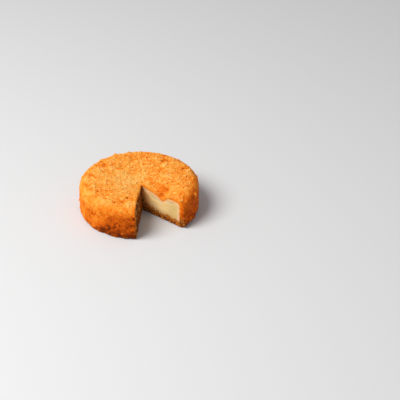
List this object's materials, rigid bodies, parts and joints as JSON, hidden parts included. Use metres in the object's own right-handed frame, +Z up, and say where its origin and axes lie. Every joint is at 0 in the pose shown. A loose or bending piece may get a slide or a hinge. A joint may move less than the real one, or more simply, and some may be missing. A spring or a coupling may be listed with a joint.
{
  "type": "baked camembert",
  "caption": "Small round soft cheese in a golden breadcrumb coat, baked whole, with one slice cut out so that the pale cheese shows at two cut faces.",
  "frame": {"origin": "middle of the round underside, on the surface that the cheese rests on", "axes": "+Z up through the thickness of the cheese; the missing slice opens to -Y and a little to +X, with its left cut close to the YZ plane"},
  "size_m": [0.1114, 0.1109, 0.0344],
  "materials": {
    "baked_crumbs": "matt, rough golden-brown breadcrumbs with small dark pits",
    "soft_cheese": "smooth, slightly moist, pale cream paste with a thin peach rind"
  },
  "bodies": {
    "root": {"crumb_coat": "baked_crumbs", "cheese": "soft_cheese"}
  },
  "joints": []
}
